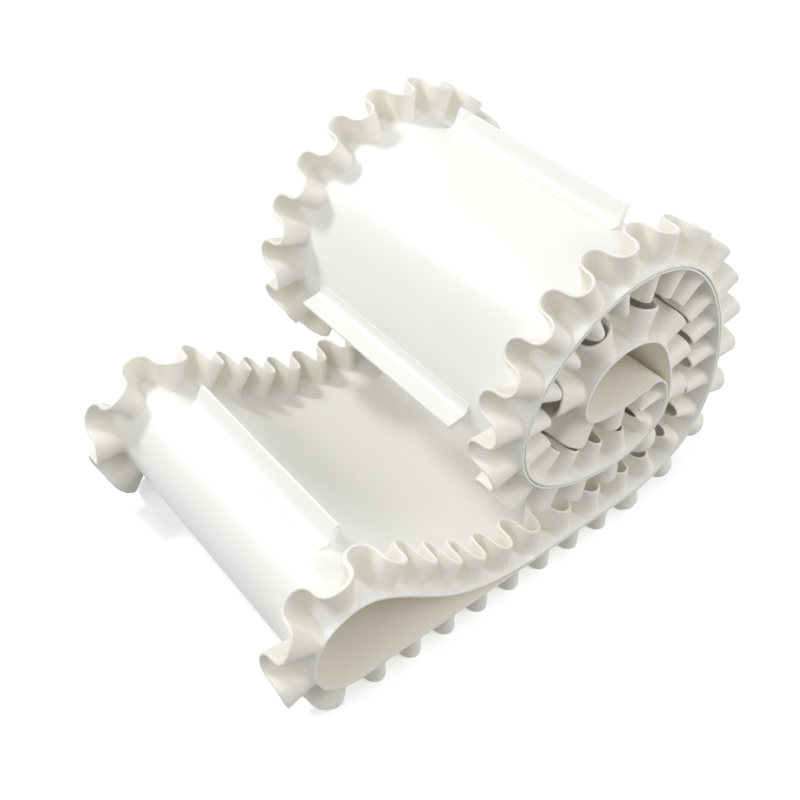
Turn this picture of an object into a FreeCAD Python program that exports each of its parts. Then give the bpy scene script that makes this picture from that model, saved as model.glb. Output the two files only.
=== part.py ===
import FreeCAD, Part
import math
import os

V = FreeCAD.Vector

# PVC sidewall conveyor belt, endless, rolled up from one end and standing on its own sidewalls.
# Frame: +Z up, origin at the bottom centre of the box, +X from the open front loop to the roll,
# Y across the belt (the roll's axis), the near edge at -Y. Millimetres.

doc = FreeCAD.newDocument("sidewall_belt")

# ---------------------------------------------------------------- driving dimensions
sheet = doc.addObject("Spreadsheet::Sheet", "dims")
TABLE = [
    ("belt_width", 500.0),
    ("ply_thickness", 1.0),
    ("cover_thickness", 2.0),
    ("wall_height", 43.0),
    ("wall_thickness", 4.0),
    ("wall_inset", 28.3),
    ("wall_swing", 21.2),
    ("wall_flank_angle", 86.0),
    ("wall_count", 73.0),
    ("cleat_height", 33.0),
    ("cleat_tip", 5.5),
    ("cleat_waist", 8.4),
    ("cleat_waist_height", 11.0),
    ("cleat_foot", 34.0),
    ("cleat_foot_edge", 1.2),
    ("cleat_length", 310.0),
    ("joint_gap", 0.35),
]
for row, (name, value) in enumerate(TABLE, start=1):
    sheet.set("A%d" % row, name)
    sheet.set("B%d" % row, "%g" % value)
    sheet.setAlias("B%d" % row, name)
doc.recompute()


def dim(name):
    return float(getattr(sheet, name))


WIDTH = dim("belt_width")
PLY = dim("ply_thickness")
BASE = PLY + dim("cover_thickness")
WALL_H = dim("wall_height")
WALL_T = dim("wall_thickness")
GAP = dim("joint_gap")

# ---------------------------------------------------------------- line of the belt
# The running side of the endless belt, seen from the near edge: (x, z, heading in degrees).
# It goes along the floor run, round the outside of the roll, into the core loop, back along the
# inside of the roll, over the floor run and round the front loop.
LINE = [
    (19.98, 46.0, 0.0), (79.98, 46.0, 0.0), (139.98, 46.0, 0.0), (195.0, 46.0, 0.0),
    (257.62, 63.1, 25.08), (300.46, 95.39, 49.49), (325.97, 142.15, 72.64),
    (334.25, 198.9, 89.25), (328.93, 258.56, 100.79), (312.09, 316.05, 111.71),
    (284.49, 369.2, 124.13), (243.58, 412.69, 143.48), (189.93, 438.77, 164.83),
    (130.47, 442.41, -171.68), (73.76, 423.67, -152.72), (24.95, 389.11, -136.43),
    (-11.09, 341.49, -117.26), (-27.97, 284.31, -94.91), (-21.14, 232.13, -69.05),
    (4.7, 192.35, -44.97), (44.89, 165.16, -25.72), (101.28, 145.01, -12.96),
    (160.85, 140.57, 5.56), (213.64, 157.62, 33.12), (226.71, 169.55, 53.57),
    (234.37, 185.51, 73.38), (237.47, 202.99, 85.92), (236.15, 227.93, 99.11),
    (226.12, 267.29, 108.2), (196.95, 319.04, 136.36), (172.33, 334.13, 160.17),
    (143.8, 339.1, 179.63), (109.86, 332.22, -155.7), (89.98, 318.12, -132.65),
    (78.24, 297.73, -107.37), (75.6, 278.72, -87.94), (77.63, 266.93, -71.47),
    (83.6, 256.63, -47.13), (93.24, 249.58, -26.91), (104.46, 245.39, -15.08),
    (116.23, 243.07, -7.77), (135.8, 242.07, 1.54), (179.71, 247.9, 10.41),
    (198.69, 251.1, 6.96), (210.65, 251.12, -10.19), (221.15, 245.71, -43.46),
    (228.38, 236.18, -60.51), (233.09, 225.17, -72.75), (235.62, 213.45, -82.51),
    (235.23, 191.46, -100.72), (228.12, 173.98, -124.31), (214.83, 160.52, -143.61),
    (197.98, 150.97, -156.44), (171.03, 142.93, -169.95), (121.16, 142.71, 171.85),
    (63.3, 158.15, 158.99), (11.58, 187.97, 139.31), (-16.75, 224.64, 114.66),
    (-26.84, 266.08, 93.59), (-20.34, 317.1, 72.08), (8.62, 369.26, 50.89),
    (52.63, 409.75, 34.76), (106.34, 435.92, 16.38), (165.7, 441.67, -5.27),
    (222.93, 424.96, -27.82), (268.96, 387.05, -49.66), (301.54, 336.84, -63.42),
    (322.71, 280.81, -75.09), (332.52, 221.7, -86.12), (329.38, 161.95, -100.87),
    (307.78, 106.39, -123.76), (274.78, 74.23, -146.76), (257.11, 64.19, -154.92),
    (195.0, 47.2, 180.0), (150.0, 47.2, 180.0), (109.49, 47.2, 180.0), (49.5, 47.2, 180.0),
    (-10.46, 48.29, 175.03), (-69.42, 58.92, 164.06), (-124.53, 82.22, 149.39),
    (-172.88, 117.63, 140.36), (-219.56, 155.32, 143.78), (-261.52, 176.25, 169.83),
    (-284.63, 175.43, -166.27), (-305.88, 166.15, -146.72), (-323.3, 148.8, -122.66),
    (-332.18, 125.84, -100.71), (-333.0, 100.35, -83.13), (-325.26, 75.3, -61.21),
    (-312.12, 59.72, -37.6), (-293.93, 50.41, -18.22), (-273.85, 46.38, -4.6), (-264.2, 46.0, 0.0),
    (-241.78, 46.0, 0.0), (-181.78, 46.0, 0.0), (-121.78, 46.0, 0.0), (-61.78, 46.0, 0.0),
    (-1.78, 46.0, 0.0),
]


def tangent_arcs(nodes):
    """Two tangent arcs between each pair of neighbours: rows (x, z, heading, length, curvature)."""
    rows = []
    for i in range(len(nodes)):
        x0, z0, a0 = nodes[i]
        x1, z1, a1 = nodes[(i + 1) % len(nodes)]
        a0, a1 = math.radians(a0), math.radians(a1)
        t0 = (math.cos(a0), math.sin(a0))
        t1 = (math.cos(a1), math.sin(a1))
        vx, vz = x1 - x0, z1 - z0
        vv = vx * vx + vz * vz
        vt = vx * (t0[0] + t1[0]) + vz * (t0[1] + t1[1])
        tt = 2.0 * (1.0 - (t0[0] * t1[0] + t0[1] * t1[1]))
        d = vv / (2.0 * vt) if abs(tt) < 1e-12 else (-vt + math.sqrt(vt * vt + tt * vv)) / tt
        jx = (x0 + x1 + d * (t0[0] - t1[0])) / 2.0
        jz = (z0 + z1 + d * (t0[1] - t1[1])) / 2.0
        px, pz, heading = x0, z0, a0
        for qx, qz in ((jx, jz), (x1, z1)):
            cx, cz = qx - px, qz - pz
            c2 = cx * cx + cz * cz
            chord = math.sqrt(c2)
            k = 2.0 * (math.cos(heading) * cz - math.sin(heading) * cx) / c2
            if abs(k) * chord < 1e-6:
                k, length = 0.0, chord
            else:
                length = 2.0 * math.asin(max(-1.0, min(1.0, k * chord / 2.0))) / k
            rows.append((px, pz, heading, length, k))
            px, pz, heading = qx, qz, heading + k * length
    return rows


ARCS = tangent_arcs(LINE)
START = [0.0]
TURN = [ARCS[0][2]]
for arc in ARCS:
    START.append(START[-1] + arc[3])
    TURN.append(TURN[-1] + arc[3] * arc[4])
LENGTH = START[-1]
FULL_TURN = TURN[-1] - TURN[0]


def arc_at(s):
    """Index of the arc at length s, and the length into it."""
    s = s % LENGTH
    lo, hi = 0, len(ARCS) - 1
    while lo < hi:
        mid = (lo + hi + 1) // 2
        if START[mid] <= s:
            lo = mid
        else:
            hi = mid - 1
    return lo, s - START[lo]


def on_line(s, out=0.0):
    """Point (x, z) at length s, the distance out from the running side, and the heading there."""
    i, u = arc_at(s)
    x, z, a, length, k = ARCS[i]
    b = a + k * u
    if k == 0.0:
        px, pz = x + u * math.cos(a), z + u * math.sin(a)
    else:
        px = x + (math.sin(b) - math.sin(a)) / k
        pz = z - (math.cos(b) - math.cos(a)) / k
    return px + out * math.sin(b), pz - out * math.cos(b), b


def heading_total(s):
    """Heading without jumps, for averaging."""
    laps = math.floor(s / LENGTH)
    i, u = arc_at(s)
    return TURN[i] + ARCS[i][4] * u + laps * FULL_TURN


# In the sharp fold of the core the sidewall leans, because its edge has no room to stand square.
FOLD_AT, FOLD_FLAT, FOLD_FADE, FOLD_SPREAD = 1832.0, 70.0, 150.0, 42.0


def lean(s):
    """Direction in which the sidewall stands at length s, as a heading."""
    far = abs(s % LENGTH - FOLD_AT)
    if far >= FOLD_FADE:
        return heading_total(s)
    w = 1.0 if far <= FOLD_FLAT else (FOLD_FADE - far) / (FOLD_FADE - FOLD_FLAT)
    w = w * w * (3.0 - 2.0 * w)
    spread = FOLD_SPREAD * w
    total = weight = 0.0
    for j in range(-24, 25):
        g = math.exp(-0.5 * (j / 8.0) ** 2)
        total += g * heading_total(s + spread * j / 8.0)
        weight += g
    return total / weight


# ---------------------------------------------------------------- corrugation of the sidewalls
PITCH = LENGTH / dim("wall_count")
SHIFT = [(0.0, 0.36), (190.0, 0.36), (560.0, 0.70), (1200.0, 0.70), (3300.0, 0.36), (LENGTH, 0.36)]
STEPS = 20  # points in one corrugation


def shift(s):
    s = s % LENGTH
    for (s0, v0), (s1, v1) in zip(SHIFT, SHIFT[1:]):
        if s0 <= s <= s1:
            return v0 + (v1 - v0) * (s - s0) / (s1 - s0)
    return SHIFT[-1][1]


def length_of(turns):
    """Length along the belt at a number of corrugations, counted from crest to crest."""
    s = turns * PITCH
    for _ in range(30):
        s = PITCH * (turns + shift(s))
    return s


def make_wave():
    """One corrugation from outer crest to outer crest: (share of the pitch, swing -1..1, flank angle)."""
    fine = 40 * STEPS
    flank = math.radians(dim("wall_flank_angle"))
    along, across = [0.0], [0.0]
    for i in range(fine):
        a = flank * math.sin(2.0 * math.pi * (i + 0.5) / fine)
        along.append(along[-1] + math.cos(a))
        across.append(across[-1] + math.sin(a))
    top = max(across)
    rows = []
    for i in range(STEPS + 1):
        j = i * 40
        rows.append((along[j] / along[-1], 2.0 * across[j] / top - 1.0,
                     flank * math.sin(2.0 * math.pi * i / STEPS)))
    return rows


WAVE = make_wave()


def wave_points(k0, k1, squeeze=0.0):
    """Centre line of a sidewall from crest k0 to crest k1: (length, swing, flank angle)."""
    rows = []
    for i in range(int(round(k0 * STEPS)), int(round(k1 * STEPS)) + 1):
        turn, j = divmod(i, STEPS)
        part, swing, flank = WAVE[j]
        rows.append([length_of(turn + part), swing, flank])
    if squeeze:
        mid = (rows[0][0] + rows[-1][0]) / 2.0
        f = 1.0 - 2.0 * squeeze / (rows[-1][0] - rows[0][0])
        for r in rows:
            r[0] = mid + (r[0] - mid) * f
    return rows


def crest_near(s):
    """Half-corrugation whose crest is nearest to length s."""
    k = round(2.0 * (s / PITCH - shift(s))) / 2.0
    best = min((k - 0.5, k, k + 0.5), key=lambda c: abs(length_of(c) - s))
    return best


def side_sheets(rows, side):
    """Both faces of the wall in the flat: (length, y) for the face towards the edge and the face inwards."""
    centre = WIDTH / 2.0 - dim("wall_inset")
    outer, inner = [], []
    for s, swing, flank in rows:
        y = centre - dim("wall_swing") * swing  # distance from the belt's middle
        ds = math.sin(flank) * WALL_T / 2.0
        dy = math.cos(flank) * WALL_T / 2.0
        outer.append((s + ds, side * (y + dy)))
        inner.append((s - ds, side * (y - dy)))
    return outer, inner


# ---------------------------------------------------------------- builders
made = []  # (label, object)


def origin_plane(body, role):
    return [o for o in body.Origin.OriginFeatures if o.Role == role][0]


def new_body(label, plane):
    body = doc.addObject("PartDesign::Body", label)
    body.Label = label
    sketch = body.newObject("Sketcher::SketchObject", label + "_profile")
    sketch.AttachmentSupport = [(origin_plane(body, plane), "")]
    sketch.MapMode = "FlatFace"
    return body, sketch


def new_pad(body, sketch, label, expression, symmetric):
    pad = body.newObject("PartDesign::Pad", label + "_pad")
    pad.Profile = sketch
    if symmetric:
        pad.SideType = "Symmetric"
    pad.setExpression("Length", expression)
    return pad


def offset_edges(s0, s1, out):
    """Sketch edges along the belt's line between two lengths, at a distance out from the running side."""
    edges = []
    last = None
    for lap in (-1, 0, 1):
        for i, (x, z, a, length, k) in enumerate(ARCS):
            u0 = max(s0 - START[i] - lap * LENGTH, 0.0)
            u1 = min(s1 - START[i] - lap * LENGTH, length)
            if u1 - u0 < 1e-5:
                continue
            b0, b1 = a + k * u0, a + k * u1
            if k == 0.0:
                p = V(x + u0 * math.cos(a) + out * math.sin(a), z + u0 * math.sin(a) - out * math.cos(a), 0)
                q = p + V((u1 - u0) * math.cos(a), (u1 - u0) * math.sin(a), 0)
                p = last or p
                edges.append((Part.LineSegment(p, q), p, q))
            else:
                cx, cz = x - math.sin(a) / k, z + math.cos(a) / k
                r = 1.0 / k + out
                bm = (b0 + b1) / 2.0
                p = last or V(cx + r * math.sin(b0), cz - r * math.cos(b0), 0)
                m = V(cx + r * math.sin(bm), cz - r * math.cos(bm), 0)
                q = V(cx + r * math.sin(b1), cz - r * math.cos(b1), 0)
                edges.append((Part.Arc(p, m, q), p, q))
            last = q
    return edges


def belt_strip(label, s0, s1, inner, outer):
    """A length of one layer of the base belt, across the whole width."""
    body, sketch = new_body(label, "XZ_Plane")
    low = offset_edges(s0, s1, inner)
    high = offset_edges(s0, s1, outer)
    shapes = [e[0] for e in low] + [e[0] for e in high]
    shapes.append(Part.LineSegment(low[0][1], high[0][1]))
    shapes.append(Part.LineSegment(low[-1][2], high[-1][2]))
    sketch.addGeometry(shapes, False)
    new_pad(body, sketch, label, "dims.belt_width", True)
    made.append((label, body))
    return body


def cleat(label, s):
    """A cross bar with a flared foot, standing square on the carrying cover."""
    body, sketch = new_body(label, "XZ_Plane")
    half = dim("cleat_foot") / 2.0
    foot = offset_edges(s - half, s + half, BASE)
    x, z, a = on_line(s, BASE)
    along, out = V(math.cos(a), math.sin(a), 0), V(math.sin(a), -math.cos(a), 0)

    def local(u, v):
        return V(x, z, 0) + along * u + out * v

    edge = dim("cleat_foot_edge")
    waist, waist_z = dim("cleat_waist") / 2.0, dim("cleat_waist_height")
    tip, top = dim("cleat_tip") / 2.0, dim("cleat_height")
    geo = [e[0] for e in foot]
    for side, end, at in ((-1.0, foot[0][1], s - half), (1.0, foot[-1][2], s + half)):
        b = on_line(at, BASE)[2]
        lip = end + V(math.sin(b), -math.cos(b), 0) * edge
        rise = (lip - V(x, z, 0)).dot(out)
        bow = local(side * (waist + 3.6), waist_z * 0.38 + (rise - edge) * 0.3)
        geo.append(Part.LineSegment(end, lip))
        geo.append(Part.Arc(lip, bow, local(side * waist, waist_z)))
        geo.append(Part.LineSegment(local(side * waist, waist_z), local(side * tip, top)))
    geo.append(Part.LineSegment(local(-tip, top), local(tip, top)))
    sketch.addGeometry(geo, False)
    new_pad(body, sketch, label, "dims.cleat_length", True)
    made.append((label, body))
    return body


def spline(points, params):
    curve = Part.BSplineCurve()
    curve.interpolate(Points=points, Parameters=params)
    return curve


def ruled(first, second):
    """Face of straight lines between two splines that share their knots."""
    surface = Part.BSplineSurface()
    surface.buildFromPolesMultsKnots(
        [[a, b] for a, b in zip(first.getPoles(), second.getPoles())],
        first.getMultiplicities(), [2, 2], first.getKnots(), [0.0, 1.0], False, False, first.Degree, 1)
    return surface.toShape()


def half_waves(curve, count):
    """The curve cut at every crest, so that each face of the wall spans half a corrugation."""
    cuts = list(range(0, count, STEPS // 2))
    pieces = []
    for a, b in zip(cuts, cuts[1:]):
        piece = curve.copy()
        piece.segment(float(a), float(b))
        pieces.append(piece)
    return pieces


def straight_wall(label, k0, k1, side, root_z, down):
    """A length of sidewall on a flat stretch: the wavy outline padded to the wall's height."""
    body, sketch = new_body(label, "XY_Plane")
    rows = wave_points(k0, k1)
    params = [float(i) for i in range(len(rows))]
    outer, inner = side_sheets(rows, side)
    geo, ends = [], []
    for face in (outer, inner):
        points = [V(on_line(s)[0], y, 0) for s, y in face]
        geo += half_waves(spline(points, params), len(rows))
        ends.append((points[0], points[-1]))
    geo.append(Part.LineSegment(ends[0][0], ends[1][0]))
    geo.append(Part.LineSegment(ends[0][1], ends[1][1]))
    sketch.addGeometry(geo, False)
    new_pad(body, sketch, label, "dims.wall_height", False)
    body.Placement = FreeCAD.Placement(V(0, 0, root_z - (WALL_H if down else 0.0)), FreeCAD.Rotation())
    made.append((label, body))
    return body


def curved_wall(label, k0, k1, side, squeeze=0.0):
    """A length of sidewall that follows a bend: ruled faces from its welded root to its free edge."""
    rows = wave_points(k0, k1, squeeze)
    params = [float(i) for i in range(len(rows))]
    outer, inner = side_sheets(rows, side)
    height = WALL_H - squeeze
    edges = []
    for face in (outer, inner):
        root, tip = [], []
        for s, y in face:
            x, z, _ = on_line(s, BASE)
            b = lean(s)
            root.append(V(x, y, z))
            tip.append(V(x + height * math.sin(b), y, z - height * math.cos(b)))
        edges.append(half_waves(spline(root, params), len(rows)))
        edges.append(half_waves(spline(tip, params), len(rows)))
    faces = []
    for ro, to, ri, ti in zip(*edges):
        faces += [ruled(ro, to), ruled(ri, ti), ruled(ro, ri), ruled(to, ti)]
    for pick in (0, -1):
        ends = [edges[j][pick].getPoles()[pick] for j in (0, 1, 3, 2)]
        faces.append(Part.Face(Part.makePolygon(ends + ends[:1])))
    shell = Part.Shell(faces)
    shell.sewShape()
    solid = Part.Solid(shell)
    if solid.Volume < 0:
        solid.reverse()
    feature = doc.addObject("Part::Feature", label)
    feature.Label = label
    feature.Shape = solid
    feature.Placement = FreeCAD.Placement()
    made.append((label, feature))
    return feature


# ---------------------------------------------------------------- where the belt is divided
def upper_at(x):
    """Length along the upper layer of the floor run where it passes x."""
    lo, hi = 3000.0, 3480.0
    for _ in range(60):
        mid = (lo + hi) / 2.0
        if on_line(mid)[0] > x:
            lo = mid
        else:
            hi = mid
    return lo


K_LOW_FRONT = crest_near(-89.0 + LENGTH)      # lower layer, front bend
K_LOW_FLOOR = crest_near(-33.0 + LENGTH)
K_LOW_ROLL = 2.5
K_ROLL = 3.5
K_TOP = crest_near(640.0)
K_UNDER = crest_near(1095.0)
K_CORE = crest_near(1580.0)
K_BACK = crest_near(2020.0)
K_OVER = crest_near(2560.0)
K_UP_ROLL = crest_near(upper_at(236.0))
K_UP_FLOOR = crest_near(upper_at(180.0))
K_UP_FRONT = crest_near(upper_at(-14.0))
K_FRONT = crest_near(upper_at(-70.0))
K_NOSE = crest_near(3735.0)
LAPS = dim("wall_count")


def s_of(k):
    return length_of(k)


# ---------------------------------------------------------------- base belt: cover and ply
def two_layers(name, s0, s1):
    belt_strip("running_ply_" + name, s0, s1, 0.0, PLY)
    belt_strip("carrying_cover_" + name, s0, s1, PLY, BASE)


two_layers("floor_lower", s_of(K_LOW_FLOOR - LAPS), s_of(K_LOW_ROLL))
two_layers("roll_outer", s_of(K_ROLL), s_of(K_UNDER))
two_layers("roll_core", s_of(K_UNDER), s_of(K_BACK))
two_layers("roll_inner", s_of(K_BACK), s_of(K_UP_ROLL))
two_layers("floor_upper", s_of(K_UP_FLOOR), s_of(K_UP_FRONT))
two_layers("front_loop", s_of(K_FRONT), s_of(K_LOW_FRONT))

belt_strip("flex_panel_roll_lower", s_of(K_LOW_ROLL) + GAP, s_of(K_ROLL) - GAP, 0.0, BASE)
belt_strip("flex_panel_roll_upper", s_of(K_UP_ROLL) + GAP, s_of(K_UP_FLOOR) - GAP, 0.0, BASE)
belt_strip("flex_panel_front_upper", s_of(K_UP_FRONT) + GAP, s_of(K_FRONT) - GAP, 0.0, BASE)
belt_strip("flex_panel_front_lower", s_of(K_LOW_FRONT) + GAP, s_of(K_LOW_FLOOR) - GAP, 0.0, BASE)

# ---------------------------------------------------------------- sidewalls, near and far
FLOOR_TOP = 46.0 - BASE
for edge, side in (("near", -1.0), ("far", 1.0)):
    n = edge + "_sidewall_"
    straight_wall(n + "floor_lower", K_LOW_FLOOR - LAPS, K_LOW_ROLL, side, FLOOR_TOP, True)
    curved_wall(n + "roll_flex_lower", K_LOW_ROLL, K_ROLL, side, GAP)
    curved_wall(n + "roll_right", K_ROLL, K_TOP, side)
    curved_wall(n + "roll_left", K_TOP, K_UNDER, side)
    curved_wall(n + "core_right", K_UNDER, K_CORE, side)
    curved_wall(n + "core_left", K_CORE, K_BACK, side)
    curved_wall(n + "inner_left", K_BACK, K_OVER, side)
    curved_wall(n + "inner_right", K_OVER, K_UP_ROLL, side)
    curved_wall(n + "roll_flex_upper", K_UP_ROLL, K_UP_FLOOR, side, GAP)
    curved_wall(n + "floor_upper", K_UP_FLOOR, K_UP_FRONT, side)
    curved_wall(n + "front_flex_upper", K_UP_FRONT, K_FRONT, side, GAP)
    curved_wall(n + "front_top", K_FRONT, K_NOSE, side)
    curved_wall(n + "front_bottom", K_NOSE, K_LOW_FRONT, side)
    curved_wall(n + "front_flex_lower", K_LOW_FRONT, K_LOW_FLOOR, side, GAP)

# ---------------------------------------------------------------- cleats
# Length along the belt of each cleat's middle.
CLEATS = [
    ("floor_lower", 55.6), ("roll_right", 374.3), ("roll_top", 693.0), ("roll_left", 1026.7),
    ("core_right", 1337.6), ("core_left", 1648.5), ("core_bottom", 1959.4), ("inner_left", 2270.3),
    ("inner_top", 2581.2), ("inner_right", 2892.1), ("floor_upper", 3203.0),
    ("front_top", 3561.3), ("front_bottom", 3880.0),
]
for name, s in CLEATS:
    cleat("cleat_" + name, s)

# ---------------------------------------------------------------- checks and files
doc.recompute()
problems = []
for obj in doc.Objects:
    state = [str(v) for v in obj.State]
    if "Invalid" in state or "Error" in state:
        problems.append("%s is %s" % (obj.Label, state))
for label, obj in made:
    shape = obj.Shape
    if shape.isNull() or not shape.isValid() or len(shape.Solids) != 1 or shape.Volume <= 0:
        problems.append("%s has no valid single solid" % label)
if problems:
    raise RuntimeError("; ".join(problems))

os.makedirs("parts", exist_ok=True)
for label, obj in made:
    obj.Shape.exportStep("parts/%s.step" % label)
print("pieces", len(made), "belt length %.1f" % LENGTH, "pitch %.2f" % PITCH)
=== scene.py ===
import math

import bpy
import numpy as np
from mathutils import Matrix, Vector


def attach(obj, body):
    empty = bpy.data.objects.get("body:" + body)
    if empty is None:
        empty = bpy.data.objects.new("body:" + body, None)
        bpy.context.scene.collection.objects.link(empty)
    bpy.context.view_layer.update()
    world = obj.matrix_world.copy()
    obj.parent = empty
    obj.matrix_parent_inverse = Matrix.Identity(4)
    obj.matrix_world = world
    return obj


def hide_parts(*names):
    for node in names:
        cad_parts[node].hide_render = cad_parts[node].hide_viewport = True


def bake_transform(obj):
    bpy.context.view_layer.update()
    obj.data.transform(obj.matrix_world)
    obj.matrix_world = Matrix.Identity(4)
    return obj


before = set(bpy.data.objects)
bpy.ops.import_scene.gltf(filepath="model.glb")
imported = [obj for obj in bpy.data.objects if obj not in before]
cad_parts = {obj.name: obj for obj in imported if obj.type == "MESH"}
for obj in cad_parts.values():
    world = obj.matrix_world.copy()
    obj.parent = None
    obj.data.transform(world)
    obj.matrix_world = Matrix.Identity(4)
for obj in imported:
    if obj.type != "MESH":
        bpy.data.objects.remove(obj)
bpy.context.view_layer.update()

# ------------------------------------------------------------------ the belt's line, in millimetres
# Running side of the endless belt, seen from the near edge: x, z, heading in degrees.
LINE = [
    (19.98, 46.0, 0.0), (79.98, 46.0, 0.0), (139.98, 46.0, 0.0), (195.0, 46.0, 0.0),
    (257.62, 63.1, 25.08), (300.46, 95.39, 49.49), (325.97, 142.15, 72.64),
    (334.25, 198.9, 89.25), (328.93, 258.56, 100.79), (312.09, 316.05, 111.71),
    (284.49, 369.2, 124.13), (243.58, 412.69, 143.48), (189.93, 438.77, 164.83),
    (130.47, 442.41, -171.68), (73.76, 423.67, -152.72), (24.95, 389.11, -136.43),
    (-11.09, 341.49, -117.26), (-27.97, 284.31, -94.91), (-21.14, 232.13, -69.05),
    (4.7, 192.35, -44.97), (44.89, 165.16, -25.72), (101.28, 145.01, -12.96),
    (160.85, 140.57, 5.56), (213.64, 157.62, 33.12), (226.71, 169.55, 53.57),
    (234.37, 185.51, 73.38), (237.47, 202.99, 85.92), (236.15, 227.93, 99.11),
    (226.12, 267.29, 108.2), (196.95, 319.04, 136.36), (172.33, 334.13, 160.17),
    (143.8, 339.1, 179.63), (109.86, 332.22, -155.7), (89.98, 318.12, -132.65),
    (78.24, 297.73, -107.37), (75.6, 278.72, -87.94), (77.63, 266.93, -71.47),
    (83.6, 256.63, -47.13), (93.24, 249.58, -26.91), (104.46, 245.39, -15.08),
    (116.23, 243.07, -7.77), (135.8, 242.07, 1.54), (179.71, 247.9, 10.41),
    (198.69, 251.1, 6.96), (210.65, 251.12, -10.19), (221.15, 245.71, -43.46),
    (228.38, 236.18, -60.51), (233.09, 225.17, -72.75), (235.62, 213.45, -82.51),
    (235.23, 191.46, -100.72), (228.12, 173.98, -124.31), (214.83, 160.52, -143.61),
    (197.98, 150.97, -156.44), (171.03, 142.93, -169.95), (121.16, 142.71, 171.85),
    (63.3, 158.15, 158.99), (11.58, 187.97, 139.31), (-16.75, 224.64, 114.66),
    (-26.84, 266.08, 93.59), (-20.34, 317.1, 72.08), (8.62, 369.26, 50.89),
    (52.63, 409.75, 34.76), (106.34, 435.92, 16.38), (165.7, 441.67, -5.27),
    (222.93, 424.96, -27.82), (268.96, 387.05, -49.66), (301.54, 336.84, -63.42),
    (322.71, 280.81, -75.09), (332.52, 221.7, -86.12), (329.38, 161.95, -100.87),
    (307.78, 106.39, -123.76), (274.78, 74.23, -146.76), (257.11, 64.19, -154.92),
    (195.0, 47.2, 180.0), (150.0, 47.2, 180.0), (109.49, 47.2, 180.0), (49.5, 47.2, 180.0),
    (-10.46, 48.29, 175.03), (-69.42, 58.92, 164.06), (-124.53, 82.22, 149.39),
    (-172.88, 117.63, 140.36), (-219.56, 155.32, 143.78), (-261.52, 176.25, 169.83),
    (-284.63, 175.43, -166.27), (-305.88, 166.15, -146.72), (-323.3, 148.8, -122.66),
    (-332.18, 125.84, -100.71), (-333.0, 100.35, -83.13), (-325.26, 75.3, -61.21),
    (-312.12, 59.72, -37.6), (-293.93, 50.41, -18.22), (-273.85, 46.38, -4.6), (-264.2, 46.0, 0.0),
    (-241.78, 46.0, 0.0), (-181.78, 46.0, 0.0), (-121.78, 46.0, 0.0), (-61.78, 46.0, 0.0),
    (-1.78, 46.0, 0.0),
]

WIDTH, PLY, BASE = 500.0, 1.0, 3.0
WALL_H, WALL_T, WALL_INSET, WALL_SWING, WALL_COUNT = 43.0, 4.0, 28.3, 21.2, 73
WALL_FLANK = math.radians(86.0)
CLEAT_H, CLEAT_TIP, CLEAT_WAIST, CLEAT_WAIST_H = 33.0, 5.5, 8.4, 11.0
CLEAT_FOOT, CLEAT_EDGE, CLEAT_LEN = 34.0, 1.2, 310.0


def tangent_arcs(nodes):
    rows = []
    for i in range(len(nodes)):
        x0, z0, a0 = nodes[i]
        x1, z1, a1 = nodes[(i + 1) % len(nodes)]
        a0, a1 = math.radians(a0), math.radians(a1)
        t0 = (math.cos(a0), math.sin(a0))
        t1 = (math.cos(a1), math.sin(a1))
        vx, vz = x1 - x0, z1 - z0
        vv = vx * vx + vz * vz
        vt = vx * (t0[0] + t1[0]) + vz * (t0[1] + t1[1])
        tt = 2.0 * (1.0 - (t0[0] * t1[0] + t0[1] * t1[1]))
        d = vv / (2.0 * vt) if abs(tt) < 1e-12 else (-vt + math.sqrt(vt * vt + tt * vv)) / tt
        jx = (x0 + x1 + d * (t0[0] - t1[0])) / 2.0
        jz = (z0 + z1 + d * (t0[1] - t1[1])) / 2.0
        px, pz, heading = x0, z0, a0
        for qx, qz in ((jx, jz), (x1, z1)):
            cx, cz = qx - px, qz - pz
            c2 = cx * cx + cz * cz
            chord = math.sqrt(c2)
            k = 2.0 * (math.cos(heading) * cz - math.sin(heading) * cx) / c2
            if abs(k) * chord < 1e-6:
                k, length = 0.0, chord
            else:
                length = 2.0 * math.asin(max(-1.0, min(1.0, k * chord / 2.0))) / k
            rows.append((px, pz, heading, length, k))
            px, pz, heading = qx, qz, heading + k * length
    return np.array(rows)


ARCS = tangent_arcs(LINE)
START = np.concatenate([[0.0], np.cumsum(ARCS[:, 3])])
TURN = ARCS[0, 2] + np.concatenate([[0.0], np.cumsum(ARCS[:, 3] * ARCS[:, 4])])
LENGTH = START[-1]
FULL_TURN = TURN[-1] - TURN[0]


def arc_index(s):
    u = np.mod(s, LENGTH)
    i = np.clip(np.searchsorted(START, u, side="right") - 1, 0, len(ARCS) - 1)
    return i, u - START[i]


def heading(s):
    """Heading without jumps."""
    s = np.asarray(s, float)
    i, u = arc_index(s)
    return TURN[i] + ARCS[i, 4] * u + np.floor(s / LENGTH) * FULL_TURN


def on_line(s, out=0.0):
    """x and z at length s, the distance out from the running side."""
    s = np.asarray(s, float)
    i, u = arc_index(s)
    x, z, a, _, k = ARCS[i].T
    b = a + k * u
    safe = np.where(np.abs(k) < 1e-12, 1.0, k)
    px = np.where(np.abs(k) < 1e-12, x + u * np.cos(a), x + (np.sin(b) - np.sin(a)) / safe)
    pz = np.where(np.abs(k) < 1e-12, z + u * np.sin(a), z - (np.cos(b) - np.cos(a)) / safe)
    return px + out * np.sin(b), pz - out * np.cos(b)


FOLD_AT, FOLD_FLAT, FOLD_FADE, FOLD_SPREAD = 1832.0, 70.0, 150.0, 42.0


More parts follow.
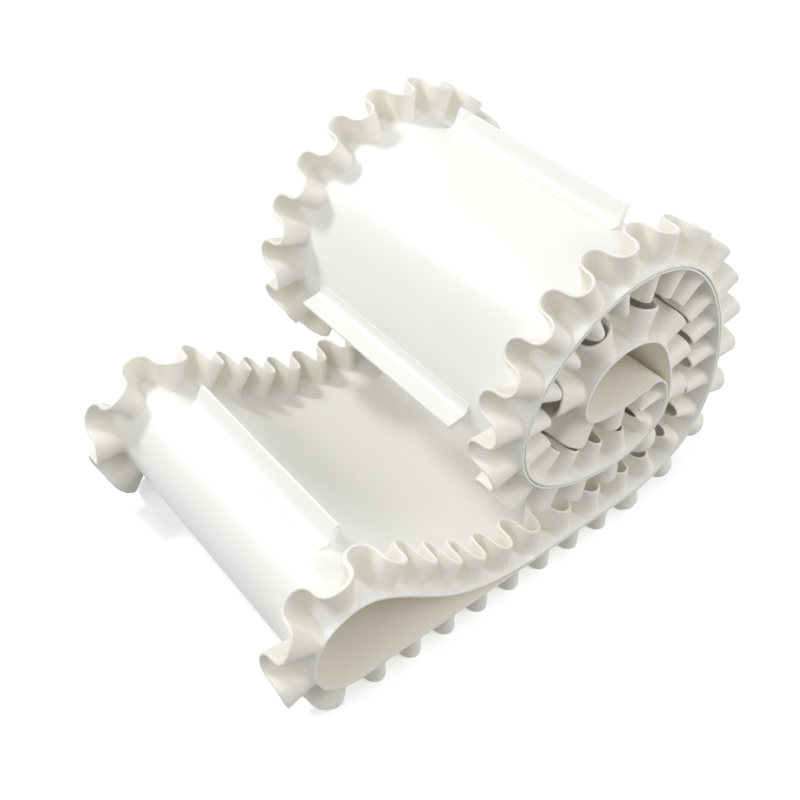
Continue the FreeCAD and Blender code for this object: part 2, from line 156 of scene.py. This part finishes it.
def lean(s):
    """Direction in which the sidewall stands: it leans in the sharp fold of the core."""
    s = np.asarray(s, float)
    far = np.abs(np.mod(s, LENGTH) - FOLD_AT)
    w = np.clip((FOLD_FADE - far) / (FOLD_FADE - FOLD_FLAT), 0.0, 1.0)
    w = w * w * (3.0 - 2.0 * w)
    total = np.zeros_like(s)
    weight = 0.0
    for j in range(-24, 25):
        g = math.exp(-0.5 * (j / 8.0) ** 2)
        total += g * heading(s + FOLD_SPREAD * w * j / 8.0)
        weight += g
    return total / weight


# ------------------------------------------------------------------ corrugation
PITCH = LENGTH / WALL_COUNT
SHIFT_S = [0.0, 190.0, 560.0, 1200.0, 3300.0, LENGTH]
SHIFT_V = [0.36, 0.36, 0.70, 0.70, 0.36, 0.36]


def shift(s):
    return np.interp(np.mod(s, LENGTH), SHIFT_S, SHIFT_V)


def length_of(turns):
    turns = np.asarray(turns, float)
    s = turns * PITCH
    for _ in range(30):
        s = PITCH * (turns + shift(s))
    return s


STEPS = 44


def make_wave():
    fine = 40 * STEPS
    mid = (np.arange(fine) + 0.5) / fine
    a = WALL_FLANK * np.sin(2.0 * np.pi * mid)
    along = np.concatenate([[0.0], np.cumsum(np.cos(a))])
    across = np.concatenate([[0.0], np.cumsum(np.sin(a))])
    pick = np.arange(STEPS + 1) * 40
    return (along[pick] / along[-1], 2.0 * across[pick] / across.max() - 1.0,
            WALL_FLANK * np.sin(2.0 * np.pi * np.arange(STEPS + 1) / STEPS))


WAVE = make_wave()


def crest_near(s):
    k = round(2.0 * (s / PITCH - float(shift(s)))) / 2.0
    return min((k - 0.5, k, k + 0.5), key=lambda c: abs(float(length_of(c)) - s))


def upper_at(x):
    lo, hi = 3000.0, 3480.0
    for _ in range(60):
        mid = (lo + hi) / 2.0
        if on_line(mid)[0] > x:
            lo = mid
        else:
            hi = mid
    return lo


K_LOW_FRONT = crest_near(-89.0 + LENGTH)
K_LOW_FLOOR = crest_near(-33.0 + LENGTH)
K_LOW_ROLL, K_ROLL = 2.5, 3.5
K_TOP = crest_near(640.0)
K_UNDER = crest_near(1095.0)
K_CORE = crest_near(1580.0)
K_BACK = crest_near(2020.0)
K_OVER = crest_near(2560.0)
K_UP_ROLL = crest_near(upper_at(236.0))
K_UP_FLOOR = crest_near(upper_at(180.0))
K_UP_FRONT = crest_near(upper_at(-14.0))
K_FRONT = crest_near(upper_at(-70.0))
K_NOSE = crest_near(3735.0)


# ------------------------------------------------------------------ meshes
def mesh_piece(name, verts, faces, uv=None, sharp=38.0):
    """A piece from points in millimetres; faces turn outwards, and edges sharper than the angle stay crisp."""
    verts = np.asarray(verts, float)
    tris = np.array([(f[0], f[i], f[i + 1]) for f in faces for i in range(1, len(f) - 1)])
    a, b, c = verts[tris[:, 0]], verts[tris[:, 1]], verts[tris[:, 2]]
    if float(np.sum(a * np.cross(b, c))) < 0.0:
        faces = [tuple(reversed(f)) for f in faces]
    mesh = bpy.data.meshes.new(name)
    mesh.from_pydata((verts * 0.001).tolist(), [], faces)
    if uv is not None:
        layer = mesh.uv_layers.new(name="belt")
        loop_vert = np.empty(len(mesh.loops), np.int32)
        mesh.loops.foreach_get("vertex_index", loop_vert)
        layer.data.foreach_set("uv", (np.asarray(uv, float)[loop_vert] * 0.001).astype(np.float32).ravel())
    mesh.polygons.foreach_set("use_smooth", [True] * len(mesh.polygons))
    mesh.set_sharp_from_angle(angle=math.radians(sharp))
    mesh.update()
    obj = bpy.data.objects.new(name, mesh)
    bpy.context.scene.collection.objects.link(obj)
    return obj


def loft(name, rings, uv=None, sharp=38.0):
    """Closed rings of equal size, joined in order and capped at both ends."""
    n, m, _ = rings.shape
    verts = rings.reshape(-1, 3)
    faces = []
    for i in range(n - 1):
        for j in range(m):
            k = (j + 1) % m
            faces.append((i * m + j, i * m + k, (i + 1) * m + k, (i + 1) * m + j))
    faces.append(tuple(range(m - 1, -1, -1)))
    faces.append(tuple((n - 1) * m + j for j in range(m)))
    return mesh_piece(name, verts, faces, None if uv is None else uv.reshape(-1, 2), sharp)


def strip_profile(low, high, edge):
    """Cross-section of one layer of the base belt: (y, out), with the outer corners rounded."""
    half = WIDTH / 2.0
    ys = [half - edge, 243.0, 232.0, 221.0, 210.0, 199.0, 186.0, 170.0, 155.0, 130.0, 100.0, 65.0, 30.0]
    top = [(-half, high - edge), (-half + 0.3 * edge, high - 0.3 * edge)]
    top += [(-y, high) for y in ys] + [(0.0, high)] + [(y, high) for y in reversed(ys)]
    top += [(half - 0.3 * edge, high - 0.3 * edge), (half, high - edge)]
    under = [(half, low)] + [(y, low) for y in ys[2:]] + [(-y, low) for y in reversed(ys[2:])] + [(-half, low)]
    return np.array(top + under)


def belt_strip(name, s0, s1, low, high, edge, trim=0.0):
    """One layer of the base belt between two lengths."""
    n = max(2, int(math.ceil((s1 - s0) / 2.5)))
    s = np.linspace(s0, s1, n + 1)
    profile = strip_profile(low, high, edge)
    y = np.sign(profile[:, 0]) * np.maximum(np.abs(profile[:, 0]) - trim, 0.0)
    x, z = on_line(s)
    a = heading(s)
    rings = np.empty((n + 1, len(profile), 3))
    rings[:, :, 0] = x[:, None] + np.sin(a)[:, None] * profile[None, :, 1]
    rings[:, :, 1] = y[None, :]
    rings[:, :, 2] = z[:, None] - np.cos(a)[:, None] * profile[None, :, 1]
    uv = np.empty((n + 1, len(profile), 2))
    uv[:, :, 0] = s[:, None]
    uv[:, :, 1] = y[None, :]
    return loft(name, rings, uv)


def wall_profile():
    """Cross-section of a sidewall: (offset from its middle, height), with a welded fillet and a rounded edge."""
    t = WALL_T / 2.0
    rise = [(t + 5.8, 0.0), (t + 4.3, 0.35), (t + 3.1, 0.9), (t + 2.15, 1.75), (t + 1.4, 2.9), (t + 0.82, 4.4),
            (t + 0.42, 6.4), (t + 0.16, 9.0), (t + 0.03, 12.5), (t, 18.0), (t, 27.0), (t, 35.0), (t, 40.5),
            (t - 0.08, 41.35), (t - 0.35, 42.1), (t - 0.8, 42.65), (t - 1.35, 42.92)]
    down = [(-q, h) for q, h in reversed(rise)]
    return np.array(rise + [(0.0, WALL_H)] + down)


def sidewall(name, k0, k1, side):
    """A length of corrugated sidewall from crest to crest."""
    index = np.arange(int(round(k0 * STEPS)), int(round(k1 * STEPS)) + 1)
    turn, j = np.divmod(index, STEPS)
    s = length_of(turn + WAVE[0][j])
    y = WIDTH / 2.0 - WALL_INSET - WALL_SWING * WAVE[1][j]
    flank = WAVE[2][j]
    profile = wall_profile()
    q = np.repeat(profile[None, :, 0], len(s), 0)
    h = np.repeat(profile[None, :, 1], len(s), 0)
    bead = 1.0 + 0.16 * np.sin(s / 9.3 + side) + 0.12 * np.sin(s / 4.1 + 2.0 * side)
    root = np.clip((np.abs(q) - WALL_T / 2.0), 0.0, None)
    ends = np.minimum(np.arange(len(s)), len(s) - 1 - np.arange(len(s)))
    keep = np.clip(ends / 6.0, 0.0, 1.0)
    q = q + np.sign(q) * root * ((bead - 1.0) * keep)[:, None]
    ss = s[:, None] + q * np.sin(flank)[:, None]
    yy = y[:, None] + q * np.cos(flank)[:, None]
    yy = np.minimum(yy, WIDTH / 2.0 - 0.3)
    x, z = on_line(ss.ravel(), BASE)
    a = lean(ss.ravel())
    shape = ss.shape
    rings = np.empty(shape + (3,))
    rings[..., 0] = x.reshape(shape) + np.sin(a).reshape(shape) * h
    rings[..., 1] = side * yy
    rings[..., 2] = z.reshape(shape) - np.cos(a).reshape(shape) * h
    uv = np.empty(shape + (2,))
    uv[..., 0] = ss
    uv[..., 1] = h
    return loft(name, rings, uv, 45.0)


def cleat_profile():
    """Half of the cleat's section from the foot's edge to the middle of the tip: (along, out)."""
    half, waist, tip = CLEAT_FOOT / 2.0, CLEAT_WAIST / 2.0, CLEAT_TIP / 2.0
    pts = [(half, 0.0), (half, 0.55), (half - 0.18, 0.95), (half - 0.6, 1.18)]
    a, b, c = np.array([half - 0.6, 1.18]), np.array([waist + 1.6, 1.9]), np.array([waist, CLEAT_WAIST_H])
    for t in np.linspace(0.0, 1.0, 15)[1:]:
        pts.append(tuple((1 - t) ** 2 * a + 2 * t * (1 - t) * b + t * t * c))
    for t in (0.25, 0.5, 0.75):
        pts.append((waist + (tip - waist) * t, CLEAT_WAIST_H + (CLEAT_H - 1.4 - CLEAT_WAIST_H) * t))
    for d in (0.0, 22.5, 45.0, 67.5, 90.0):
        r = 1.4
        pts.append((tip - r + r * math.cos(math.radians(d)), CLEAT_H - r + r * math.sin(math.radians(d))))
    return pts


def cleat(name, at):
    """A cross bar with a flared foot that lies on the bent cover."""
    half = cleat_profile()
    foot = [(u, 0.0) for u in np.linspace(-CLEAT_FOOT / 2.0, CLEAT_FOOT / 2.0, 13)[1:-1]]
    ring = np.array(half + [(-u, v) for u, v in reversed(half)] + foot)
    u, v = ring[:, 0], ring[:, 1]
    cx, cz = on_line(np.array([at]), BASE)
    a = float(heading(np.array([at]))[0])
    t, n = np.array([math.cos(a), math.sin(a)]), np.array([math.sin(a), -math.cos(a)])
    px, pz = on_line(at + u, BASE)
    du = (px - cx) * t[0] + (pz - cz) * t[1]
    dv = (px - cx) * n[0] + (pz - cz) * n[1]
    g = np.clip((CLEAT_WAIST_H - v) / (CLEAT_WAIST_H - CLEAT_EDGE), 0.0, 1.0)
    b = heading(at + u) - a
    uu = u + (du - u) * g + np.sin(b) * v * g
    vv = v + dv * g - (1.0 - np.cos(b)) * v * g
    ys = np.concatenate([[-CLEAT_LEN / 2.0], np.linspace(-CLEAT_LEN / 2.0 + 1.5, CLEAT_LEN / 2.0 - 1.5, 24),
                         [CLEAT_LEN / 2.0]])
    rings = np.empty((len(ys), len(ring), 3))
    rings[:, :, 0] = cx + uu * t[0] + vv * n[0]
    rings[:, :, 1] = ys[:, None]
    rings[:, :, 2] = cz + uu * t[1] + vv * n[1]
    uv = np.empty((len(ys), len(ring), 2))
    uv[:, :, 0] = at + uu
    uv[:, :, 1] = ys[:, None]
    obj = loft(name, rings, uv, 40.0)
    bevel = obj.modifiers.new("cut_edge", "BEVEL")
    bevel.width = 0.0004
    bevel.segments = 2
    bevel.limit_method = "ANGLE"
    bevel.angle_limit = math.radians(65.0)
    return obj


# ------------------------------------------------------------------ materials
def node_material(name):
    mat = bpy.data.materials.new(name)
    mat.use_nodes = True
    tree = mat.node_tree
    return mat, tree, tree.nodes["Principled BSDF"]


def add(tree, kind, **inputs):
    node = tree.nodes.new(kind)
    for key, value in inputs.items():
        node.inputs[key].default_value = value
    return node


def ramp(tree, source, stops):
    node = tree.nodes.new("ShaderNodeValToRGB")
    while len(node.color_ramp.elements) < len(stops):
        node.color_ramp.elements.new(0.5)
    for element, (pos, colour) in zip(node.color_ramp.elements, stops):
        element.position = pos
        element.color = colour if len(colour) == 4 else (*colour, 1.0)
    tree.links.new(source, node.inputs["Fac"])
    return node


def pvc(name, light, dark, rough, grain, subsurface):
    """Soft satin PVC: a faint cloudy tint, uneven gloss and a very fine moulded grain."""
    mat, tree, bsdf = node_material(name)
    coord = tree.nodes.new("ShaderNodeTexCoord")
    cloud = add(tree, "ShaderNodeTexNoise", Scale=7.0, Detail=4.0, Roughness=0.55)
    tree.links.new(coord.outputs["Object"], cloud.inputs["Vector"])
    tint = ramp(tree, cloud.outputs["Fac"], [(0.30, dark), (0.68, light)])
    tree.links.new(tint.outputs["Color"], bsdf.inputs["Base Color"])
    smear = add(tree, "ShaderNodeTexNoise", Scale=34.0, Detail=3.0, Roughness=0.6)
    tree.links.new(coord.outputs["Object"], smear.inputs["Vector"])
    gloss = ramp(tree, smear.outputs["Fac"], [(0.25, (rough - 0.05,) * 3), (0.75, (rough + 0.06,) * 3)])
    tree.links.new(gloss.outputs["Color"], bsdf.inputs["Roughness"])
    fine = add(tree, "ShaderNodeTexNoise", Scale=1500.0, Detail=2.0, Roughness=0.5)
    tree.links.new(coord.outputs["Object"], fine.inputs["Vector"])
    bump = add(tree, "ShaderNodeBump", Strength=grain, Distance=0.0002)
    tree.links.new(fine.outputs["Fac"], bump.inputs["Height"])
    tree.links.new(bump.outputs["Normal"], bsdf.inputs["Normal"])
    bsdf.inputs["IOR"].default_value = 1.53
    bsdf.inputs["Specular IOR Level"].default_value = 0.45
    if subsurface:
        bsdf.inputs["Subsurface Weight"].default_value = subsurface
        bsdf.inputs["Subsurface Radius"].default_value = (1.0, 0.9, 0.75)
        bsdf.inputs["Subsurface Scale"].default_value = 0.003
    return mat


def woven(name, light, dark):
    """Polyester ply, impregnated: a plain weave under a thin film."""
    mat, tree, bsdf = node_material(name)
    coord = tree.nodes.new("ShaderNodeUVMap")
    coord.uv_map = "belt"
    warp = add(tree, "ShaderNodeTexWave", Scale=160.0, Distortion=0.4)
    warp.bands_direction = "X"
    weft = add(tree, "ShaderNodeTexWave", Scale=160.0, Distortion=0.4)
    weft.bands_direction = "Y"
    for node in (warp, weft):
        tree.links.new(coord.outputs["UV"], node.inputs["Vector"])
    cross = tree.nodes.new("ShaderNodeMath")
    cross.operation = "MULTIPLY"
    tree.links.new(warp.outputs["Fac"], cross.inputs[0])
    tree.links.new(weft.outputs["Fac"], cross.inputs[1])
    tint = ramp(tree, cross.outputs["Value"], [(0.0, dark), (0.7, light)])
    tree.links.new(tint.outputs["Color"], bsdf.inputs["Base Color"])
    bump = add(tree, "ShaderNodeBump", Strength=0.25, Distance=0.0002)
    tree.links.new(cross.outputs["Value"], bump.inputs["Height"])
    tree.links.new(bump.outputs["Normal"], bsdf.inputs["Normal"])
    bsdf.inputs["Roughness"].default_value = 0.62
    bsdf.inputs["Specular IOR Level"].default_value = 0.3
    return mat


COVER = pvc("pvc_cover_white", (0.945, 0.940, 0.918), (0.93, 0.924, 0.898), 0.36, 0.10, 0.0)
WALL = pvc("pvc_sidewall_ivory", (0.93, 0.910, 0.842), (0.91, 0.886, 0.808), 0.44, 0.12, 0.12)
CLEAT = pvc("pvc_cleat_white", (0.945, 0.938, 0.915), (0.93, 0.922, 0.893), 0.40, 0.10, 0.0)
PLY_CLOTH = woven("ply_cream", (0.965, 0.942, 0.865), (0.945, 0.917, 0.83))


def dress(obj, mat):
    obj.data.materials.append(mat)
    return obj


# ------------------------------------------------------------------ pieces on their bodies
def ends_of(obj, s0, s1):
    """Points of the piece on its two end faces, by the belt's normal plane at each length."""
    co = np.array([v.co[:] for v in obj.data.vertices]) * 1000.0
    caps = []
    for s in (s0, s1):
        x, z = on_line(np.array([s]))
        a = float(lean(np.array([s]))[0])
        d = (co[:, 0] - x) * math.cos(a) + (co[:, 2] - z) * math.sin(a)
        near = np.hypot(co[:, 0] - x, co[:, 2] - z) < 60.0
        caps.append(co[(np.abs(d) < 0.6) & near])
    return caps


def bend(obj, child, s_floor, s_child):
    """The piece stays as built: the centres of its two end faces are found, and its placement is baked into the mesh.
    """
    first, last = ends_of(obj, s_floor, s_child)
    p, q = first.mean(0), last.mean(0)
    p[1] = q[1] = 0.0
    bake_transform(obj)


def base_layers(name, k0, k1, body):
    s0, s1 = float(length_of(k0)), float(length_of(k1))
    ply = dress(belt_strip("ply_" + name, s0, s1, 0.0, PLY, 0.12, 0.12), PLY_CLOTH)
    cover = dress(belt_strip("cover_" + name, s0, s1, PLY, BASE, 0.4), COVER)
    for obj, node in ((ply, "running_ply_" + name), (cover, "carrying_cover_" + name)):
        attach(obj, body)
        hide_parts(node)


def flex_layers(name, k0, k1, child, floor_first):
    s0, s1 = float(length_of(k0)), float(length_of(k1))
    ply = dress(belt_strip("ply_flex_" + name, s0, s1, 0.0, PLY, 0.12, 0.12), PLY_CLOTH)
    cover = dress(belt_strip("cover_flex_" + name, s0, s1, PLY, BASE, 0.4), COVER)
    for obj in (ply, cover):
        bend(obj, child, *((s0, s1) if floor_first else (s1, s0)))
        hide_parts("flex_panel_" + name)


LAPS = float(WALL_COUNT)
base_layers("floor_lower", K_LOW_FLOOR - LAPS, K_LOW_ROLL, "floor_run")
base_layers("roll_outer", K_ROLL, K_UNDER, "roll")
base_layers("roll_core", K_UNDER, K_BACK, "roll")
base_layers("roll_inner", K_BACK, K_UP_ROLL, "roll")
base_layers("floor_upper", K_UP_FLOOR, K_UP_FRONT, "floor_run")
base_layers("front_loop", K_FRONT, K_LOW_FRONT, "front_loop")
flex_layers("roll_lower", K_LOW_ROLL, K_ROLL, "roll", True)
flex_layers("roll_upper", K_UP_ROLL, K_UP_FLOOR, "roll", False)
flex_layers("front_upper", K_UP_FRONT, K_FRONT, "front_loop", True)
flex_layers("front_lower", K_LOW_FRONT, K_LOW_FLOOR, "front_loop", False)

WALLS = [
    ("floor_lower", K_LOW_FLOOR - LAPS, K_LOW_ROLL, "floor_run"),
    ("roll_right", K_ROLL, K_TOP, "roll"),
    ("roll_left", K_TOP, K_UNDER, "roll"),
    ("core_right", K_UNDER, K_CORE, "roll"),
    ("core_left", K_CORE, K_BACK, "roll"),
    ("inner_left", K_BACK, K_OVER, "roll"),
    ("inner_right", K_OVER, K_UP_ROLL, "roll"),
    ("floor_upper", K_UP_FLOOR, K_UP_FRONT, "floor_run"),
    ("front_top", K_FRONT, K_NOSE, "front_loop"),
    ("front_bottom", K_NOSE, K_LOW_FRONT, "front_loop"),
]
FLEX_WALLS = [
    ("roll_flex_lower", K_LOW_ROLL, K_ROLL, "roll", True),
    ("roll_flex_upper", K_UP_ROLL, K_UP_FLOOR, "roll", False),
    ("front_flex_upper", K_UP_FRONT, K_FRONT, "front_loop", True),
    ("front_flex_lower", K_LOW_FRONT, K_LOW_FLOOR, "front_loop", False),
]
for edge, side in (("near", -1.0), ("far", 1.0)):
    for name, k0, k1, body in WALLS:
        obj = dress(sidewall("%s_wall_%s" % (edge, name), k0, k1, side), WALL)
        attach(obj, body)
        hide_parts("%s_sidewall_%s" % (edge, name))
    for name, k0, k1, body, floor_first in FLEX_WALLS:
        obj = dress(sidewall("%s_wall_%s" % (edge, name), k0, k1, side), WALL)
        s0, s1 = float(length_of(k0)), float(length_of(k1))
        bend(obj, body, *((s0, s1) if floor_first else (s1, s0)))
        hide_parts("%s_sidewall_%s" % (edge, name))

CLEATS = [
    ("floor_lower", 55.6, "floor_run"), ("roll_right", 374.3, "roll"), ("roll_top", 693.0, "roll"),
    ("roll_left", 1026.7, "roll"), ("core_right", 1337.6, "roll"), ("core_left", 1648.5, "roll"),
    ("core_bottom", 1959.4, "roll"), ("inner_left", 2270.3, "roll"), ("inner_top", 2581.2, "roll"),
    ("inner_right", 2892.1, "roll"), ("floor_upper", 3203.0, "floor_run"),
    ("front_top", 3561.3, "front_loop"), ("front_bottom", 3880.0, "front_loop"),
]
for name, at, body in CLEATS:
    obj = dress(cleat("bar_" + name, at), CLEAT)
    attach(obj, body)
    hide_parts("cleat_" + name)

# ------------------------------------------------------------------ floor, light, camera
floor_mesh = bpy.data.meshes.new("studio_floor")
R = 9.0
floor_mesh.from_pydata([(-R, -R, 0.0), (R, -R, 0.0), (R, R, 0.0), (-R, R, 0.0)], [], [(0, 1, 2, 3)])
floor = bpy.data.objects.new("studio_floor", floor_mesh)
bpy.context.scene.collection.objects.link(floor)
floor_mat, _, floor_bsdf = node_material("studio_white")
floor_bsdf.inputs["Base Color"].default_value = (1.0, 1.0, 1.0, 1.0)
floor_bsdf.inputs["Roughness"].default_value = 0.9
floor_bsdf.inputs["Specular IOR Level"].default_value = 0.0
floor_bsdf.inputs["Emission Color"].default_value = (1.0, 1.0, 1.0, 1.0)
floor_bsdf.inputs["Emission Strength"].default_value = 0.32
floor_mesh.materials.append(floor_mat)
floor.visible_diffuse = False
floor.visible_shadow = False

# A pale backdrop behind the floor, for low views.
rings_up = [(8.6 * math.cos(math.radians(e)), 8.6 * math.sin(math.radians(e))) for e in (-2, 6, 16, 28, 42, 56, 70, 82)]
back_verts, back_faces = [], []
for r, z in rings_up:
    back_verts += [(r * math.cos(math.radians(7.5 * i)), r * math.sin(math.radians(7.5 * i)), z) for i in range(48)]
for j in range(len(rings_up) - 1):
    for i in range(48):
        k = (i + 1) % 48
        back_faces.append((j * 48 + i, (j + 1) * 48 + i, (j + 1) * 48 + k, j * 48 + k))
back_faces.append(tuple((len(rings_up) - 1) * 48 + i for i in range(47, -1, -1)))
back_mesh = bpy.data.meshes.new("studio_backdrop")
back_mesh.from_pydata(back_verts, [], back_faces)
backdrop = bpy.data.objects.new("studio_backdrop", back_mesh)
bpy.context.scene.collection.objects.link(backdrop)
back_mat, _, back_bsdf = node_material("studio_pale")
back_bsdf.inputs["Base Color"].default_value = (0.8, 0.8, 0.8, 1.0)
back_bsdf.inputs["Roughness"].default_value = 1.0
back_bsdf.inputs["Specular IOR Level"].default_value = 0.0
back_bsdf.inputs["Emission Color"].default_value = (1.0, 1.0, 1.0, 1.0)
back_bsdf.inputs["Emission Strength"].default_value = 0.75
back_mesh.materials.append(back_mat)
backdrop.visible_diffuse = False
backdrop.visible_glossy = False
backdrop.visible_shadow = False

world = bpy.data.worlds.new("studio")
world.use_nodes = True
sky = world.node_tree
direction = sky.nodes.new("ShaderNodeTexCoord")
up = sky.nodes.new("ShaderNodeSeparateXYZ")
sky.links.new(direction.outputs["Generated"], up.inputs["Vector"])
height = sky.nodes.new("ShaderNodeMapRange")
height.inputs["From Min"].default_value = -1.0
sky.links.new(up.outputs["Z"], height.inputs["Value"])
dome = ramp(sky, height.outputs["Result"],
            [(0.0, (0.20,) * 3), (0.5, (0.33,) * 3), (0.72, (0.53,) * 3), (1.0, (0.69,) * 3)])
sky.links.new(dome.outputs["Color"], sky.nodes["Background"].inputs["Color"])
sky.nodes["Background"].inputs["Strength"].default_value = 1.0
bpy.context.scene.world = world


def softbox(name, place, aim, size, power, colour=(1.0, 1.0, 1.0)):
    data = bpy.data.lights.new(name, "AREA")
    data.shape = "SQUARE"
    data.size = size
    data.energy = power
    data.color = colour
    obj = bpy.data.objects.new(name, data)
    obj.location = place
    obj.rotation_euler = (Vector(aim) - Vector(place)).to_track_quat("-Z", "Y").to_euler()
    bpy.context.scene.collection.objects.link(obj)
    return obj


softbox("key", (-1.15, 2.05, 2.7), (0.0, 0.0, 0.15), 0.55, 41.5)
softbox("left", (-2.3, -0.1, 2.0), (-0.1, 0.0, 0.15), 1.6, 14.5)
softbox("front", (1.4, -2.1, 1.7), (0.1, 0.0, 0.25), 1.5, 24.0)

cam_data = bpy.data.cameras.new("camera")
cam_data.sensor_width = 36.0
cam_data.lens = 50.47
cam_data.shift_y = -0.0875
cam = bpy.data.objects.new("camera", cam_data)
cam.location = (-0.71215, -0.87778, 1.22127)
cam.rotation_euler = (Vector((-0.0165, 0.0, 0.2896)) - cam.location).to_track_quat("-Z", "Y").to_euler()
cam_data.clip_start, cam_data.clip_end = 0.02, 60.0
bpy.context.scene.collection.objects.link(cam)
bpy.context.scene.camera = cam
bpy.context.scene.view_settings.view_transform = "Standard"
bpy.context.scene.view_settings.look = "None"
bpy.context.scene.cycles.diffuse_bounces = 8
